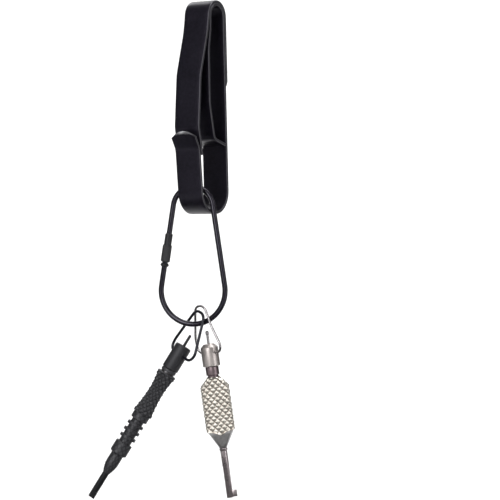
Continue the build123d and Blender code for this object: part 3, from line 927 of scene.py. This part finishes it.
def section_angle(share):
    """The angle round the body's section at a share of its outline, from the middle of its right edge."""
    run = (share % 1.0) * ROUND
    quarter, rest = divmod(run, ROUND / 4)
    if quarter % 2:
        rest = ROUND / 4 - rest
    if rest < BODY_R * ARC:
        angle = rest / BODY_R
    else:
        angle = atan2(BODY_T, FLAT - (rest - BODY_R * ARC))
    return {0: angle, 1: pi - angle, 2: pi + angle, 3: 2 * pi - angle}[int(quarter)]


def half_width(h):
    """The body's half width at a height."""
    if h > SHOULDER:
        return 3.5 + (BODY_R - 3.5) * (BODY_TOP - h) / 4.7
    if h > CONE_TOP:
        return BODY_R
    return max(1.85, BODY_R - 5.5 * (CONE_TOP - h) / 9.2)


def sag(angle):
    """How far the knurling's lower edge hangs below its corners."""
    return 2.2 * sin(angle) ** 2 * (1 - 0.4 * abs(cos(angle)))


def half_depth(h):
    return BODY_T if h > -43.0 else BODY_T - 1.4 * (-43.0 - h) / 8.8


def silver_body():
    """The body as two meshes in one: knurled down to a line that sags at the middle, then a smooth cone."""
    mesh = bpy.data.meshes.new("body_raw")
    sides, rows_knurled, rows_cone = COUNT * 14, 112, 26
    verts, faces, around, along, mask, inward = [], [], [], [], [], []

    def put(angle, h, share, marked, shrink=0.0):
        width, depth = half_width(h), half_depth(h)
        reach = min(width, depth / max(1e-6, abs(sin(angle)))) - shrink
        out = silver.across * cos(angle) + silver.away * sin(angle)
        verts.append(silver.place + (out * reach + silver.up * h) * MM)
        around.append(share)
        along.append(h * MM)
        mask.append(marked)
        flat = depth / max(1e-6, abs(sin(angle))) < width
        inward.append(-silver.away * (1 if sin(angle) > 0 else -1) if flat else -out)

    for row in range(rows_knurled + rows_cone + 2):
        for column in range(sides):
            share = column / sides
            angle = section_angle(share)
            edge = KNURL_FOOT - sag(angle)
            if row <= rows_knurled:
                h = -13.05 + (edge + 13.05) * row / rows_knurled
                put(angle, h, share, min(1.0, row / 4, (rows_knurled - row) / 1.5))
            else:
                part = (row - rows_knurled - 1) / rows_cone
                h = edge - 0.12 + (BODY_FOOT - edge + 0.12) * part
                put(angle, h, share, 0.0, 0.3 * (1 - part) + 0.02)
    rows = rows_knurled + rows_cone + 2
    for row in range(rows - 1):
        for column in range(sides):
            a, b = row * sides + column, row * sides + (column + 1) % sides
            faces.append((a, b, b + sides, a + sides))
    faces.append(tuple(range(sides)))
    faces.append(tuple(range((rows - 1) * sides, rows * sides)))
    mesh.from_pydata(verts, [], faces)
    for label, values in (("around", around), ("along", along), ("mask", mask)):
        mesh.attributes.new(label, "FLOAT", "POINT").data.foreach_set("value", values)
    flat = [c for vector in inward for c in vector]
    mesh.attributes.new("inward", "FLOAT_VECTOR", "POINT").data.foreach_set("vector", flat)
    obj = bpy.data.objects.new("body_raw", mesh)
    bpy.context.scene.collection.objects.link(obj)
    return obj


body = knurled(silver_body(), "silver_body_knurled", bright_nickel, COUNT, 3.3, 0.62, 0.94, smooth=24)
body.data.materials.append(cone_nickel)
for face in body.data.polygons:
    rel = (face.center - silver.place) / MM
    h = rel.dot(silver.up)
    reach = Vector((rel.dot(silver.across), rel.dot(silver.away)))
    angle = atan2(reach.y, reach.x)
    if h < KNURL_FOOT - 0.06 - sag(angle):
        face.material_index = 1
settle(body, "silver_key", ["silver_key_body"])
outline = [(1.75, -60.5), (1.85, -60.2), (1.85, -52.2), (2.15, -51.8), (2.2, -50.9), (1.7, -50.4), (0, -50.4)]
key_tube(
    silver, -77.0, outline, "silver_tube", shaft_nickel, "silver_key", "silver_key_shaft", 0.0
)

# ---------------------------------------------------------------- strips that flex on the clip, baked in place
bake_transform(hook_strip)
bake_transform(latch_strip)


# ---------------------------------------------------------------- floor, light and camera
def plain(name, colour, rough):
    material = bpy.data.materials.new(name)
    material.use_nodes = True
    shader = material.node_tree.nodes["Principled BSDF"]
    shader.inputs["Base Color"].default_value = (*colour, 1)
    shader.inputs["Roughness"].default_value = rough
    return material


FLOOR_Z, WALL_FOOT, SWEEP_R, WALL_TOP = -0.30, 0.9, 0.5, 2.2
CAMERA_GAP = 1.1
look_at = RIGHT * 0.02364 + Z * -0.09726
ground = bpy.data.meshes.new("floor")
sweep = [(-2.5, FLOOR_Z), (WALL_FOOT, FLOOR_Z)]
for k in range(1, 11):
    angle = radians(9 * k)
    sweep.append((WALL_FOOT + SWEEP_R * sin(angle), FLOOR_Z + SWEEP_R * (1 - cos(angle))))
sweep.append((WALL_FOOT + SWEEP_R, WALL_TOP))
points = []
for depth, height in sweep:
    for side in (-3, 3):
        points.append(RIGHT * side + AWAY * depth + Z * height)
ground.from_pydata(points, [], [(2 * k, 2 * k + 1, 2 * k + 3, 2 * k + 2) for k in range(len(sweep) - 1)])
ground.materials.append(plain("pale floor", (0.86, 0.86, 0.86), 0.7))
ground.shade_smooth()
floor = bpy.data.objects.new("floor", ground)
bpy.context.scene.collection.objects.link(floor)


def lamp(name, right, away, up, width, height, power, target=(0, 0, -0.1)):
    light = bpy.data.lights.new(name, "AREA")
    light.shape = "RECTANGLE"
    light.size, light.size_y = width, height
    light.energy = power
    obj = bpy.data.objects.new(name, light)
    obj.location = RIGHT * right + AWAY * away + Z * up
    aim = Vector(target) - obj.location
    obj.rotation_euler = aim.to_track_quat("-Z", "Y").to_euler()
    bpy.context.scene.collection.objects.link(obj)


def card(name, corners):
    """A dark card that only reflections see, which gives shiny round pieces their dark edges."""
    mesh = bpy.data.meshes.new(name)
    mesh.from_pydata([RIGHT * a + AWAY * b + Z * c for a, b, c in corners], [], [(0, 1, 2, 3)])
    mesh.materials.append(plain(name, (0.01, 0.01, 0.012), 0.9))
    obj = bpy.data.objects.new(name, mesh)
    obj.visible_camera = False
    obj.visible_diffuse = False
    obj.visible_shadow = False
    bpy.context.scene.collection.objects.link(obj)


lamp("key light", -0.45, -0.95, 0.25, 0.45, 0.7, 9.0)
lamp("side light", 0.75, -0.55, 0.10, 0.25, 0.9, 3.0)
lamp("top light", 0.12, -0.12, 0.75, 0.5, 0.5, 3.2)
lamp("backdrop light", 0.0, 0.45, 1.1, 2.4, 0.5, 26, (0, 1.4, 0.2))
card("lower card", [(-0.30, -0.50, -0.29), (0.30, -0.50, -0.29), (0.30, 0.08, -0.29), (-0.30, 0.08, -0.29)])
card("left card", [(-0.19, 0.34, -0.28), (-0.36, 0.02, -0.28), (-0.36, 0.02, 0.22), (-0.19, 0.34, 0.22)])
card("right card", [(0.21, 0.34, -0.28), (0.40, 0.02, -0.28), (0.40, 0.02, 0.22), (0.21, 0.34, 0.22)])

world = bpy.data.worlds.new("studio")
world.use_nodes = True
world.node_tree.nodes["Background"].inputs["Color"].default_value = (1, 1, 1, 1)
world.node_tree.nodes["Background"].inputs["Strength"].default_value = 0.28
bpy.context.scene.world = world
bpy.context.scene.view_settings.view_transform = "Standard"

camera_data = bpy.data.cameras.new("camera")
camera_data.lens = 149.4
camera_data.sensor_width = 36
camera = bpy.data.objects.new("camera", camera_data)
camera.location = look_at - AWAY * CAMERA_GAP
camera.rotation_euler = AWAY.to_track_quat("-Z", "Y").to_euler()
bpy.context.scene.collection.objects.link(camera)
bpy.context.scene.camera = camera
